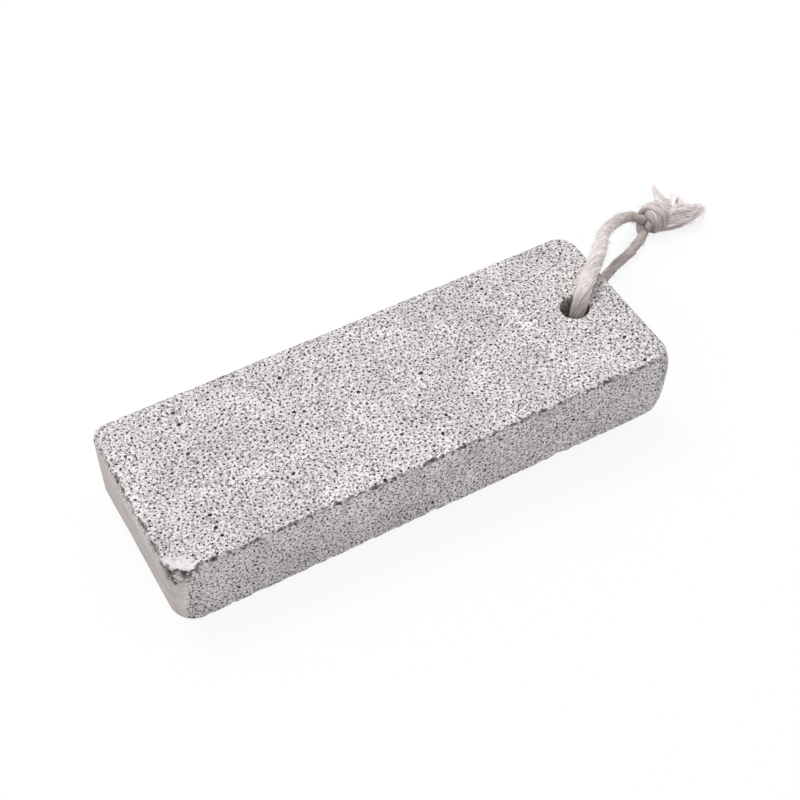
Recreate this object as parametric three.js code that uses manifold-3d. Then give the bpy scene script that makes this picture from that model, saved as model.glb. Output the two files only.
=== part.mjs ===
// A bar of pumice for rubbing hard skin, drilled near one end for a cotton hanging cord.
// The cord is one length, passed through the hole and tied in a doubled overhand knot.
// The bar lies on the cord's lower strand, so its drilled end is lifted by the cord's thickness.
// Millimetres, +Z up, +X towards the drilled end, origin under the middle of the bar.
import * as THREE from "three";
import { mergeVertices } from "three/addons/utils/BufferGeometryUtils.js";
import Module from "manifold-3d";

// Driving dimensions of the bar
const BAR_LENGTH = 120;
const BAR_WIDTH = 44;
const BAR_THICKNESS = 17.8;
const EDGE_WEAR = 1; // the rounding worn on every long edge
const CORNER_RADIUS = { drilledBack: 4.5, plainBack: 3.5, plainFront: 5.5, drilledFront: 4.6 };
const CORNER_STEPS = 4;

// The drilled hole
const HOLE_RADIUS = 3.4;
const HOLE_FROM_END = 11.2;
const HOLE_OFF_CENTRE = 0.6;
const RIM_WEAR = 0.6;
const HOLE_SIDES = 32;

// The cord
const CORD_DIAMETER = 3;
const CORD_SIDES = 8;
const CORD_STEPS = 64;
const GAP = 0.4; // kept between solids that touch

// The lean: the bar turns about its plain end until its hole clears the cord under it
const LIFT_AT_HOLE = CORD_DIAMETER + GAP;
const LEAN = Math.asin(LIFT_AT_HOLE / (BAR_LENGTH - EDGE_WEAR - HOLE_FROM_END));

// The cord's route: from the knot over the drilled end, down the hole, and back under the bar
const CORD_ROUTE = [
  [88.9, 34.8, 3.75],
  [87.6, 34.5, 4.3],
  [85.2, 33.7, 5.4],
  [81.6, 31.7, 7.0],
  [76.4, 28.0, 9.8],
  [69.2, 20.0, 15.8],
  [63.6, 13.5, 21.0],
  [60.3, 9.9, 23.2],
  [55.8, 6.0, 23.7],
  [52.7, 3.3, 23.3],
  [50.5, 1.2, 22.4],
  [49.1, -0.1, 20.2],
  [48.5, -0.5, 17.2],
  [48.3, -0.5, 12.3],
  [48.3, -0.3, 7.5],
  [48.5, 0.2, 4.6],
  [50.1, 1.5, 2.4],
  [52.4, 3.4, 1.6],
  [58.0, 8.5, 1.55],
  [64.4, 14.8, 1.55],
  [70.8, 20.2, 1.55],
  [77.3, 23.5, 1.55],
  [83.5, 25.8, 1.55],
  [87.0, 27.7, 1.55],
  [88.5, 28.6, 1.55],
];

// The knot is a barrel, and the cut ends are two tapered bundles of loose fibre
const KNOT = { centre: [93.5, 31.7, 3.7], heading: 4, length: 8.6, radius: 3.6, endRadius: 1.9 };
const LONG_TAIL = { from: [98.3, 31.4, 3.3], to: [108.4, 30.3, 2.0], radius: 2.5, tipRadius: 1.7 };
const SHORT_TAIL = { from: [97.3, 34.7, 4.5], to: [102.4, 43.0, 1.6], radius: 1.6, tipRadius: 0.6 };
const ROUND_SIDES = 16;

const STONE = { color: 0xc6c2c1, roughness: 0.95, metalness: 0 };
const COTTON = { color: 0xe6ddd6, roughness: 0.9, metalness: 0 };

const wasm = await Module();
wasm.setup();

function toSolid(geometry) {
  const bare = geometry.clone();
  bare.deleteAttribute("normal");
  bare.deleteAttribute("uv");
  const merged = mergeVertices(bare);
  return new wasm.Manifold(new wasm.Mesh({
    numProp: 3,
    vertProperties: Float32Array.from(merged.attributes.position.array),
    triVerts: Uint32Array.from(merged.index.array),
  }));
}

function toGeometry(solid) {
  const mesh = solid.getMesh();
  const geometry = new THREE.BufferGeometry();
  geometry.setAttribute("position", new THREE.BufferAttribute(mesh.vertProperties, 3));
  geometry.setIndex(new THREE.BufferAttribute(mesh.triVerts, 1));
  return geometry;
}

function barOutline() {
  const x = BAR_LENGTH / 2;
  const y = BAR_WIDTH / 2;
  const { drilledBack, plainBack, plainFront, drilledFront } = CORNER_RADIUS;
  const quarter = Math.PI / 2;
  const outline = new THREE.Shape();
  outline.absarc(x - drilledBack, y - drilledBack, drilledBack, 0, quarter);
  outline.absarc(-x + plainBack, y - plainBack, plainBack, quarter, 2 * quarter);
  outline.absarc(-x + plainFront, -y + plainFront, plainFront, 2 * quarter, 3 * quarter);
  outline.absarc(x - drilledFront, -y + drilledFront, drilledFront, 3 * quarter, 4 * quarter);
  outline.closePath();
  return outline;
}

function bar() {
  const geometry = new THREE.ExtrudeGeometry(barOutline(), {
    depth: BAR_THICKNESS - 2 * EDGE_WEAR,
    bevelThickness: EDGE_WEAR,
    bevelSize: EDGE_WEAR,
    bevelOffset: -EDGE_WEAR,
    bevelSegments: 3,
    curveSegments: CORNER_STEPS,
  });
  return geometry.translate(0, 0, EDGE_WEAR);
}

// The drill's path, flaring at both faces where the rim has worn
function drill() {
  const past = 1;
  const flare = HOLE_RADIUS + RIM_WEAR + past;
  const profile = [
    new THREE.Vector2(0, -past),
    new THREE.Vector2(flare, -past),
    new THREE.Vector2(HOLE_RADIUS, RIM_WEAR),
    new THREE.Vector2(HOLE_RADIUS, BAR_THICKNESS - RIM_WEAR),
    new THREE.Vector2(flare, BAR_THICKNESS + past),
    new THREE.Vector2(0, BAR_THICKNESS + past),
  ];
  const geometry = new THREE.LatheGeometry(profile, HOLE_SIDES).rotateX(Math.PI / 2);
  return geometry.translate(BAR_LENGTH / 2 - HOLE_FROM_END, HOLE_OFF_CENTRE, 0);
}

function pumiceStone() {
  const stone = toSolid(bar()).subtract(toSolid(drill()));
  const mesh = new THREE.Mesh(toGeometry(stone), new THREE.MeshStandardMaterial(STONE));
  mesh.name = "pumice_stone";
  mesh.rotation.y = -LEAN;
  mesh.position.x = Math.sin(LEAN) * BAR_THICKNESS / 2;
  mesh.position.z = Math.sin(LEAN) * (BAR_LENGTH / 2 - EDGE_WEAR);
  return mesh;
}

function cordLoop() {
  const section = new THREE.Shape();
  section.absarc(0, 0, CORD_DIAMETER / 2, 0, 2 * Math.PI);
  const route = CORD_ROUTE.map((point) => new THREE.Vector3(...point));
  const geometry = new THREE.ExtrudeGeometry(section, {
    extrudePath: new THREE.CatmullRomCurve3(route, false, "centripetal"),
    steps: CORD_STEPS,
    curveSegments: CORD_SIDES / 2, // an arc has two sides for each segment
  });
  return cottonMesh("cord_loop", geometry);
}

// A round solid about the Z axis, from radii [height, radius] listed from bottom to top
function turned(stations) {
  const profile = stations.map(([height, radius]) => new THREE.Vector2(radius, height));
  return new THREE.LatheGeometry(profile, ROUND_SIDES).rotateX(Math.PI / 2);
}

function cottonMesh(name, geometry) {
  const mesh = new THREE.Mesh(geometry, new THREE.MeshStandardMaterial(COTTON));
  mesh.name = name;
  return mesh;
}

function cordKnot() {
  const half = KNOT.length / 2;
  const mesh = cottonMesh("cord_knot", turned([
    [-half, 0],
    [-half, KNOT.endRadius],
    [-half * 0.6, KNOT.radius * 0.86],
    [0, KNOT.radius],
    [half * 0.6, KNOT.radius * 0.86],
    [half, KNOT.endRadius],
    [half, 0],
  ]));
  const heading = THREE.MathUtils.degToRad(KNOT.heading);
  const along = new THREE.Vector3(Math.cos(heading), Math.sin(heading), 0);
  mesh.quaternion.setFromUnitVectors(new THREE.Vector3(0, 0, 1), along);
  mesh.position.set(...KNOT.centre);
  return mesh;
}

function cordTail(name, tail) {
  const from = new THREE.Vector3(...tail.from);
  const along = new THREE.Vector3(...tail.to).sub(from);
  const mesh = cottonMesh(name, turned([
    [0, 0],
    [0, tail.radius],
    [along.length(), tail.tipRadius],
    [along.length(), 0],
  ]));
  mesh.quaternion.setFromUnitVectors(new THREE.Vector3(0, 0, 1), along.normalize());
  mesh.position.copy(from);
  return mesh;
}

const group = new THREE.Group();
group.add(pumiceStone());
group.add(cordLoop());
group.add(cordKnot());
group.add(cordTail("cord_tail_long", LONG_TAIL));
group.add(cordTail("cord_tail_short", SHORT_TAIL));

export default group;
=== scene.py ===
# %% [markdown]
# # A bar of pumice on its cotton cord
#
# The object is two real things: a sawn bar of pumice with a drilled hole, and one length of twisted
# cotton that goes through the hole and is tied to itself. This lesson first places the camera and
# lays the cord, because the rest of the picture hangs on them, and then cuts the stone.

# %% Load the frame
import math

import bmesh
import bpy
import numpy as np
from mathutils import Matrix, Vector, kdtree, noise


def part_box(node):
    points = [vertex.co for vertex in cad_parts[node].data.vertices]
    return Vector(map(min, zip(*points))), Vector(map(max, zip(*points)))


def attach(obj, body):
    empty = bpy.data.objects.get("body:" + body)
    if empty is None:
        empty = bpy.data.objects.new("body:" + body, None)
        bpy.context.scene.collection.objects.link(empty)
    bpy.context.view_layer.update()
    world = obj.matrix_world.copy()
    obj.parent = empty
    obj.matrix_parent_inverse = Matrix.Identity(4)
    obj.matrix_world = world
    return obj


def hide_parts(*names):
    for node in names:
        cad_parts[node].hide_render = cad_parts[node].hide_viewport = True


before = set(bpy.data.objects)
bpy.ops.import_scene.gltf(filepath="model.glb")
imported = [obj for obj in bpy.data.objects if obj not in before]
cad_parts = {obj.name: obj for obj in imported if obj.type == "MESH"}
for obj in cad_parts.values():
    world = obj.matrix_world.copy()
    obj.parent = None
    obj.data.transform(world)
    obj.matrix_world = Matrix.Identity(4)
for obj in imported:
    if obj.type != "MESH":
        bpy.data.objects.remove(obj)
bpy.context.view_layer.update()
MM = 0.001
STONE_LOW, STONE_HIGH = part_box("pumice_stone")

# %% [markdown]
# The camera looks down on the bar from the front left, with a short telephoto lens, which keeps
# the long edges almost parallel. It is placed by the direction it looks along and by its distance
# from a point on the table, because those are the numbers that a photographer would change.

# %% Camera
VIEW_AZIMUTH = math.radians(-29.48)
VIEW_ELEVATION = math.radians(48.55)
VIEW_ROLL = math.radians(0.71)
VIEW_DISTANCE = 379.1 * MM
VIEW_TARGET = Vector((9.79, 11.31, 0)) * MM
LENS_MM = 74.1


def aim_camera():
    """Adds the camera and turns it to look at the target, with a small roll about its own axis."""
    back = Vector((
        math.sin(VIEW_AZIMUTH) * math.cos(VIEW_ELEVATION),
        -math.cos(VIEW_AZIMUTH) * math.cos(VIEW_ELEVATION),
        math.sin(VIEW_ELEVATION),
    ))
    data = bpy.data.cameras.new("camera")
    data.lens = LENS_MM
    camera = bpy.data.objects.new("camera", data)
    bpy.context.collection.objects.link(camera)
    turn = back.to_track_quat("Z", "Y").to_matrix().to_4x4()
    camera.matrix_world = (
        Matrix.Translation(VIEW_TARGET + back * VIEW_DISTANCE)
        @ turn
        @ Matrix.Rotation(VIEW_ROLL, 4, "Z")
    )
    bpy.context.scene.camera = camera
    return camera


camera = aim_camera()
print("camera at", [round(value, 4) for value in camera.location])

# %% [markdown]
# The stage is a plain white table under soft studio light. An even sky keeps the shaded sides
# open, and one large soft box behind the bar, high up, makes the top face the brightest and gives
# every pore a small shadow. On a light table the shadows are thin, because the table itself glows.
# The table here does the same for the eye only: what the camera sees of it is mostly white light,
# while the light that it throws back on the object is that of a pale matt board.

# %% Table and light
SKY_STRENGTH = 0.84
TABLE_SIZE = 3.0
TABLE_GREY = 0.8
TABLE_GLOW = 0.9
SOFT_BOX = {"place": (-0.1, 0.64, 1.05), "size": 0.4, "power": 8.2}


def plain_material(name, colour, roughness):
    material = bpy.data.materials.new(name)
    material.use_nodes = True
    shader = material.node_tree.nodes["Principled BSDF"]
    shader.inputs["Base Color"].default_value = (*colour, 1)
    shader.inputs["Roughness"].default_value = roughness
    return material


def glowing_to_the_eye(tree, shader, glow_share, output):
    """Mixes white light into a shader, for what the camera sees directly."""
    light = tree.nodes.new("ShaderNodeEmission")
    path = tree.nodes.new("ShaderNodeLightPath")
    share = tree.nodes.new("ShaderNodeMath")
    share.operation = "MULTIPLY"
    share.inputs[1].default_value = glow_share
    mix = tree.nodes.new("ShaderNodeMixShader")
    tree.links.new(path.outputs["Is Camera Ray"], share.inputs[0])
    tree.links.new(share.outputs[0], mix.inputs[0])
    tree.links.new(shader.outputs[0], mix.inputs[1])
    tree.links.new(light.outputs[0], mix.inputs[2])
    tree.links.new(mix.outputs[0], output.inputs["Surface"])


def add_soft_light(name, place, size, power):
    data = bpy.data.lights.new(name, "AREA")
    data.size = size
    data.energy = power
    light = bpy.data.objects.new(name, data)
    light.location = place
    light.rotation_euler = Vector(place).to_track_quat("Z", "Y").to_euler()
    bpy.context.collection.objects.link(light)
    return light


def set_stage():
    bpy.ops.object.select_all(action="DESELECT")
    bpy.ops.mesh.primitive_plane_add(size=TABLE_SIZE, location=(0, 0, 0))
    table = bpy.context.object
    table.name = "table"
    board = plain_material("white board", (TABLE_GREY, TABLE_GREY, TABLE_GREY), 0.9)
    nodes = board.node_tree.nodes
    glowing_to_the_eye(board.node_tree, nodes["Principled BSDF"], TABLE_GLOW, nodes["Material Output"])
    table.data.materials.append(board)
    sky = bpy.data.worlds.new("sky")
    sky.use_nodes = True
    nodes = sky.node_tree.nodes
    nodes["Background"].inputs["Color"].default_value = (1, 1, 1, 1)
    nodes["Background"].inputs["Strength"].default_value = SKY_STRENGTH
    glowing_to_the_eye(sky.node_tree, nodes["Background"], 1.0, nodes["World Output"])
    bpy.context.scene.world = sky
    bpy.context.scene.view_settings.view_transform = "Standard"


set_stage()
soft_box = add_soft_light("soft box", **SOFT_BOX)
print("light from", tuple(round(value, 2) for value in soft_box.location))

# %% [markdown]
# The cord is limp cotton, three millimetres thick. It comes out of the knot, falls up over the
# drilled end of the bar, drops through the hole, runs back under the bar and out to the knot. Its
# route is a short list of places, and one smooth curve goes through all of them. A Catmull-Rom
# curve is used because it passes through its points, so the list stays readable.

# %% The cord's route
CORD_ROUTE = [
    (90.9, 34.7, 3.3),
    (89.6, 34.7, 3.6),
    (87.6, 34.5, 4.3),
    (85.2, 33.7, 5.4),
    (81.6, 31.7, 7.0),
    (76.4, 28.0, 9.8),
    (69.2, 20.0, 15.8),
    (63.6, 13.5, 21.0),
    (60.3, 9.9, 23.2),
    (55.8, 6.0, 23.7),
    (52.7, 3.3, 23.3),
    (50.5, 1.2, 22.4),
    (49.1, -0.1, 20.2),
    (48.5, -0.5, 17.2),
    (48.3, -0.5, 12.3),
    (48.3, -0.3, 7.5),
    (48.5, 0.2, 4.6),
    (50.1, 1.5, 2.4),
    (52.4, 3.4, 1.6),
    (58.0, 8.5, 1.55),
    (64.4, 14.8, 1.55),
    (70.8, 20.2, 1.55),
    (77.3, 23.5, 1.55),
    (83.5, 25.8, 1.55),
    (87.0, 27.7, 1.55),
    (88.7, 28.7, 1.55),
    (90.1, 29.8, 1.6),
    (91.3, 30.8, 1.9),
]


def smooth_line(points, per_span=16):
    """A centripetal Catmull-Rom curve through the points."""
    points = np.asarray(points, float)
    points = np.vstack([2 * points[0] - points[1], points, 2 * points[-1] - points[-2]])
    line = []
    for k in range(1, len(points) - 2):
        a, b, c, d = points[k - 1:k + 3]
        times = np.cumsum([0, *(math.sqrt(np.linalg.norm(q - p)) for p, q in ((a, b), (b, c), (c, d)))])
        t0, t1, t2, t3 = times
        for t in np.linspace(t1, t2, per_span, endpoint=False):
            ab = ((t1 - t) * a + (t - t0) * b) / (t1 - t0)
            bc = ((t2 - t) * b + (t - t1) * c) / (t2 - t1)
            cd = ((t3 - t) * c + (t - t2) * d) / (t3 - t2)
            abc = ((t2 - t) * ab + (t - t0) * bc) / (t2 - t0)
            bcd = ((t3 - t) * bc + (t - t1) * cd) / (t3 - t1)
            line.append(((t2 - t) * abc + (t - t1) * bcd) / (t2 - t1))
    line.append(points[-2])
    return np.array(line)


def lengths_along(line):
    return np.concatenate([[0], np.cumsum(np.linalg.norm(np.diff(line, axis=0), axis=1))])


def respaced(line, step):
    """The same line with its points one step apart."""
    along = lengths_along(line)
    at = np.linspace(0, along[-1], max(2, round(along[-1] / step) + 1))
    return np.stack([np.interp(at, along, line[:, k]) for k in range(3)], axis=1)


loop_line = smooth_line(np.array(CORD_ROUTE) * MM)
print("loop length", round(lengths_along(loop_line)[-1], 4), "m")

# %% [markdown]
# The knot is an overhand knot tied in both ends at once. Drawn by hand, such a knot never looks
# pulled tight, so it is tied loosely by formula and then tightened: both strands run in along the
# knot's axis, wrap back around themselves for a turn and a half, and run out through the wraps.
# Each round pulls every point towards the middle of its neighbours, as tension does, and then
# pushes apart the places that have come closer than the cord is thick. Cotton is soft, so inside
# the knot the cord is squeezed to under two thirds of its thickness.

# %% Tie and tighten the knot
KNOT_CENTRE = np.array([93.4, 31.7, 3.4]) * MM
KNOT_HEADING = math.radians(4)
SQUEEZED = 1.72 * MM
KNOT_STEP = 0.5 * MM
TIGHTENING_ROUNDS = 120
FRONT_OF_WRAP = math.radians(1)
STRAND_ENTRY = {
    1: np.array([(89.6, 34.7, 3.6), (90.9, 34.7, 3.3)]) * MM,
    -1: np.array([(90.1, 29.8, 1.6), (91.3, 30.8, 1.9)]) * MM,
}
STRAND_EXIT = {
    1: np.array([(98.6, 31.6, 4.6), (100.0, 33.6, 4.4)]) * MM,
    -1: np.array([(98.4, 30.3, 3.3), (100.9, 29.8, 3.0)]) * MM,
}
knot_axes = np.array([
    (math.cos(KNOT_HEADING), math.sin(KNOT_HEADING), 0),
    (-math.sin(KNOT_HEADING), math.cos(KNOT_HEADING), 0),
    (0, 0, 1),
])


def about_axis(along, angle, radius):
    return np.array([along, radius * math.cos(angle), radius * math.sin(angle)])


def loose_strand(side):
    """One of the two strands, tied loosely. Lengths inside are in thicknesses of the squeezed cord."""
    start = FRONT_OF_WRAP + 1.5 * math.pi
    end = FRONT_OF_WRAP - 1.5 * math.pi
    apart = 0.5 * side * about_axis(0, start - math.pi / 2, 1)
    points = [about_axis(along, start, 0.62) + apart for along in (-2.6, -1.4, 0, 1.2)]
    points.append(about_axis(2.15 + 0.3 * side, start, 1.1) + 0.6 * apart)
    for share in np.linspace(0, 1, 13):
        along = 1.5 - 3 * share + 0.5 * side
        points.append(about_axis(along, start - share * 3 * math.pi, 1.75))
    points.append(about_axis(-2.15 + 0.3 * side, end, 1.1) - 0.6 * apart)
    points += [about_axis(along, end, 0.62) - apart for along in (-1.2, 0, 1.4, 2.6)]
    knotted = KNOT_CENTRE + SQUEEZED * np.array(points) @ knot_axes
    return smooth_line(np.vstack([STRAND_ENTRY[side], knotted, STRAND_EXIT[side]]))


def pushed_apart(points, strand, place):
    """Moves points that are nearer than the squeezed thickness away from each other."""
    gap = points[:, None] - points[None]
    distance = np.linalg.norm(gap, axis=2)
    same = strand[:, None] == strand[None]
    neighbours = same & (abs(place[:, None] - place[None]) * KNOT_STEP < 1.6 * SQUEEZED)
    close = (distance < SQUEEZED) & ~neighbours
    push = np.where(close, 0.5 * (SQUEEZED - distance) / np.maximum(distance, 1e-9), 0)
    move = (gap * push[:, :, None]).sum(1) / np.maximum(close.sum(1), 1)[:, None]
    points = points + 1.2 * move
    points[:, 2] = np.maximum(points[:, 2], SQUEEZED / 2)
    return points


def tightened(lines):
    """Both strands after tension and contact have pulled the knot tight. Their ends stay."""
    lines = [respaced(line, KNOT_STEP) for line in lines]
    for turn in range(TIGHTENING_ROUNDS):
        ends = [(line[0].copy(), line[-1].copy()) for line in lines]
        for line in lines:
            line[1:-1] += 0.5 * ((line[:-2] + line[2:]) / 2 - line[1:-1])
        count = len(lines[0])
        strand = np.repeat([0, 1], [count, len(lines[1])])
        place = np.concatenate([np.arange(count), np.arange(len(lines[1]))])
        for _ in range(4):
            points = pushed_apart(np.vstack(lines), strand, place)
            lines = [points[:count], points[count:]]
            for line, (first, last) in zip(lines, ends):
                line[0], line[-1] = first, last
        if turn % 10 == 9:
            lines = [respaced(line, KNOT_STEP) for line in lines]
    return lines


upper_knot_line, lower_knot_line = tightened([loose_strand(1), loose_strand(-1)])
print("each strand has", [round(lengths_along(line)[-1], 4) for line in (upper_knot_line, lower_knot_line)],
      "m in the knot")

# %% [markdown]
# The cord itself is three soft plies twisted together, each of many fine yarns. A ring that is
# swept along the line carries both: three shallow lobes, and small ridges between them. The ring
# turns as it goes, which twists the plies. The whole cord is swept in one go, from one cut end
# through the knot and the loop to the other end, so that the lay runs on without a break. Each
# point also remembers where it would be if the cord were untwisted and straight, so that a fine
# streak can be painted along the yarns later.

# %% The whole cord as one line
RING_STEP = 0.4 * MM
KNOT_RADIUS = 1.2 * MM


def nearest(line, place):
    return int(np.argmin(np.linalg.norm(line - place, axis=1)))


def joined_line():
    """From the short cut end through the knot, round the loop and back through the knot."""
    start = nearest(loop_line, upper_knot_line[0])
    end = nearest(loop_line, lower_knot_line[0])
    return respaced(
        np.vstack([upper_knot_line[::-1], loop_line[start + 1:end], lower_knot_line]), RING_STEP)


whole_line = joined_line()
knot_ends = [
    nearest(whole_line, STRAND_ENTRY[1][0]),
    nearest(whole_line, STRAND_ENTRY[-1][0]),
]
distances = lengths_along(whole_line)
print("the whole cord", round(distances[-1], 4), "m,", len(whole_line), "rings, knot ends at", knot_ends)

# %% [markdown]
# Limp cotton has no even thickness. Where it turns into the hole it opens and lies flatter, and
# between the bar and the knot it is pulled thinner. Inside the knot it is squeezed on all sides.
# So its radius is a short list along the loop, and the knot has its own. A second list darkens
# the cotton: painted shade near and in the knot, and a darker strand that runs under the bar.

# %% Thickness along the cord
RING_POINTS = 48
LAY_LENGTH = 23 * MM
PLIES = 3
YARNS = 17
LUMP_LENGTH = 3 * MM
LOOP_RADII = (1.42, 1.46, 1.5, 1.72, 1.98, 1.75, 1.5, 1.35, 1.28, 1.22, 1.2)


def ring_radius(ring):
    """The cord's radius at this ring."""
    share = (distances[ring] - distances[knot_ends[0]]) / (distances[knot_ends[1]] - distances[knot_ends[0]])
    loop_radius = float(np.interp(share, np.linspace(0, 1, len(LOOP_RADII)), LOOP_RADII)) * MM
    into_knot = min(max(0.5 + (abs(share - 0.5) - 0.5) * 30, 0), 1)
    return loop_radius + into_knot * (KNOT_RADIUS - loop_radius)


# Painted shade: the loop darkens towards the knot, and the knot darkens most low down. The strand that runs under
# the bar is darker.
LOOP_DARKENING = ((0.0, 0.1, 0.2, 0.3, 0.43, 0.46, 0.5, 0.9, 1.0), (0.55, 0.3, 0.05, 0.0, 0.05, 1.0, 1.0, 0.9, 0.7))
KNOT_PAINTED_SHADE = ((1.5, 4.5, 6.4), (1.0, 0.8, 0.25))


def darkening_share(ring):
    """Darkening at this ring: painted shade near and in the knot, and a darker strand under the bar."""
    share = (distances[ring] - distances[knot_ends[0]]) / (distances[knot_ends[1]] - distances[knot_ends[0]])
    if 0 <= share <= 1:
        return float(np.interp(share, *LOOP_DARKENING))
    return float(np.interp(whole_line[ring, 2] / MM, *KNOT_PAINTED_SHADE))


print("radius in the knot", KNOT_RADIUS / MM, "and half way round", ring_radius(sum(knot_ends) // 2) / MM)

# %% Sweep the twisted plies
def carried_frames(line):
    """Two directions across the line at each point, turned as little as possible on the way."""
    along = np.gradient(line, axis=0)
    along /= np.linalg.norm(along, axis=1)[:, None]
    across = np.cross(along[0], (0.3, 0.2, 1.0))
    frames = []
    for direction in along:
        across = across - direction * (across @ direction)
        across /= np.linalg.norm(across)
        frames.append((across, np.cross(direction, across)))
    return np.array(frames)


def twisted_ring(distance):
    """Angles of the ring's points, their radius in cord radii, and how deep each is in a groove."""
    angle = np.linspace(0, 2 * math.pi, RING_POINTS, endpoint=False)
    turned = angle - 2 * math.pi * distance / LAY_LENGTH
    lobe = np.abs(np.cos(PLIES * turned / 2)) ** 0.6
    yarn = np.cos(YARNS * turned + 0.9 * math.sin(distance / MM * 0.8))
    places = np.column_stack([np.cos(turned), np.sin(turned), np.full(RING_POINTS, distance / LUMP_LENGTH)])
    lump = np.array([noise.noise(Vector(place)) + 0.5 * noise.noise(Vector(place) * 3) for place in places])
    radius = 0.94 + 0.045 * lobe + 0.02 * yarn + 0.1 * lump
    return angle, turned, radius, 1 - lobe


def swept_plies(first, last):
    """Rings of the cord from one ring number to another: their points, groove depths and straight places."""
    points, grooves, straight = [], [], []
    for ring in range(first, last + 1):
        angle, turned, share, groove = twisted_ring(distances[ring])
        radius = ring_radius(ring) * share
        right, up = cord_frames[ring]
        round_ring = (whole_line[ring] + (radius * np.cos(angle))[:, None] * right
                      + (radius * np.sin(angle))[:, None] * up)
        round_ring[:, 2] = np.maximum(round_ring[:, 2], 0)
        points.append(round_ring)
        grooves.append(groove)
        straight.append(np.column_stack([
            radius * np.cos(turned), radius * np.sin(turned), np.full(RING_POINTS, distances[ring])]))
    return np.array(points), np.array(grooves), np.array(straight)


cord_frames = carried_frames(whole_line)
print("the loop has", knot_ends[1] - knot_ends[0] + 1, "rings")

# %% [markdown]
# All cord pieces and all fibres are tubes made of rings. One helper turns rings into a closed
# shell: quads between the rings, and a flat cap over each end.

# %% Tubes from rings
def tube_faces(tubes, rings, sides):
    """Faces for many tubes with the same number of rings, one after the other."""
    steps = np.arange(rings - 1)[:, None] * sides
    corner = np.arange(sides)[None]
    following = (np.arange(sides)[None] + 1) % sides
    quads = np.stack([
        steps + corner, steps + following, steps + sides + following, steps + sides + corner,
    ], axis=-1).reshape(-1, 4)
    size = rings * sides
    faces = []
    for tube in range(tubes):
        faces += (quads + tube * size).tolist()
        faces.append(list(range(tube * size + sides - 1, tube * size - 1, -1)))
        faces.append(list(range(tube * size + size - sides, tube * size + size)))
    return faces


def new_piece(name, parts):
    """One object from parts of (points, faces, depth, straight, darkening), its attributes included."""
    points, faces, depth, straight, darkening = [], [], [], [], []
    count = 0
    for part_points, part_faces, part_depth, part_straight, part_darkening in parts:
        points.append(part_points)
        faces += [[corner + count for corner in face] for face in part_faces]
        depth.append(part_depth)
        straight.append(part_straight)
        darkening.append(np.broadcast_to(part_darkening, len(part_points)))
        count += len(part_points)
    mesh = bpy.data.meshes.new(name)
    mesh.from_pydata(np.vstack(points).tolist(), [], faces)
    mesh.attributes.new("depth", "FLOAT", "POINT").data.foreach_set(
        "value", np.concatenate(depth).astype(np.float32))
    mesh.attributes.new("darkening", "FLOAT", "POINT").data.foreach_set(
        "value", np.concatenate(darkening).astype(np.float32))
    mesh.attributes.new("straight", "FLOAT_VECTOR", "POINT").data.foreach_set(
        "vector", np.concatenate(straight).astype(np.float32).ravel())
    mesh.update()
    mesh.shade_smooth()
    piece = bpy.data.objects.new(name, mesh)
    bpy.context.collection.objects.link(piece)
    return piece


CREASE_REACH = 0.35 * MM


def crease_shade(points, first):
    """One where a point of the cord touches another turn of it, falling to nothing a little way off."""
    tree = kdtree.KDTree(len(whole_line))
    for number, place in enumerate(whole_line):
        tree.insert(place, number)
    tree.balance()
    shade = np.zeros(points.shape[:2])
    for ring, ring_points in enumerate(points):
        for side, point in enumerate(ring_points):
            near = [
                distance for _, other, distance in tree.find_range(Vector(point), KNOT_RADIUS + CREASE_REACH)
                if abs(distances[other] - distances[first + ring]) > 3 * KNOT_RADIUS
            ]
            if near:
                shade[ring, side] = min((KNOT_RADIUS + CREASE_REACH - min(near)) / CREASE_REACH, 1)
    return shade


def ply_part(first, last):
    points, groove, straight = swept_plies(first, last)
    # Painted shade in the grooves between plies, and in creases where the cord touches another turn.
    groove = np.maximum(0.4 * groove, crease_shade(points, first))
    faces = tube_faces(1, len(points), RING_POINTS)
    darkening = np.repeat([darkening_share(ring) for ring in range(first, last + 1)], RING_POINTS)
    return points.reshape(-1, 3), faces, groove.ravel(), straight.reshape(-1, 3), darkening


print("faces in one hair", len(tube_faces(1, 5, 3)))

# %% [markdown]
# Cotton is never smooth. Short loose fibres stand off every yarn, and they make the cord's outline
# soft. Each hair is a thin three-sided tube that starts in the cord and bends away. Their places
# and bends are random, with a fixed seed, so that every run grows the same hairs.

# %% Loose hairs on the cord
HAIR_RINGS = 5
HAIR_SIDES = 3
HAIRS_PER_METRE = 14000
HAIR_RADIUS = (0.016 * MM, 0.03 * MM)
HAIR_LENGTH = (0.5 * MM, 1.7 * MM)
hair_dice = np.random.default_rng(11)


def thin_tubes(lines, radii, sides, shade, darkening_amount=0.0):
    """Tubes round many lines at once. lines is tubes by rings by three, radii is tubes by rings."""
    along = np.gradient(lines, axis=1)
    along /= np.maximum(np.linalg.norm(along, axis=2), 1e-12)[:, :, None]
    lead = np.where(np.abs(along[:, :1, 2:]) < 0.8, (0.0, 0.0, 1.0), (1.0, 0.0, 0.0))
    across = lead - along * (along * lead).sum(2)[:, :, None]
    across /= np.maximum(np.linalg.norm(across, axis=2), 1e-12)[:, :, None]
    upward = np.cross(along, across)
    angle = np.arange(sides) * 2 * math.pi / sides
    ring = (np.cos(angle)[None, None, :, None] * across[:, :, None]
            + np.sin(angle)[None, None, :, None] * upward[:, :, None])
    points = lines[:, :, None] + ring * radii[:, :, None, None]
    tubes, rings = lines.shape[:2]
    straight = np.zeros((tubes, rings, sides, 3))
    straight[..., 0] = (np.arange(tubes) * 0.37 * MM)[:, None, None]
    straight[..., 2] = (np.linspace(0, 1, rings) * 4 * MM)[None, :, None]
    depth = np.repeat(shade, rings * sides)
    darkening = np.repeat(np.broadcast_to(darkening_amount, tubes), rings * sides)
    return points.reshape(-1, 3), tube_faces(tubes, rings, sides), depth, straight.reshape(-1, 3), darkening


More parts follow.
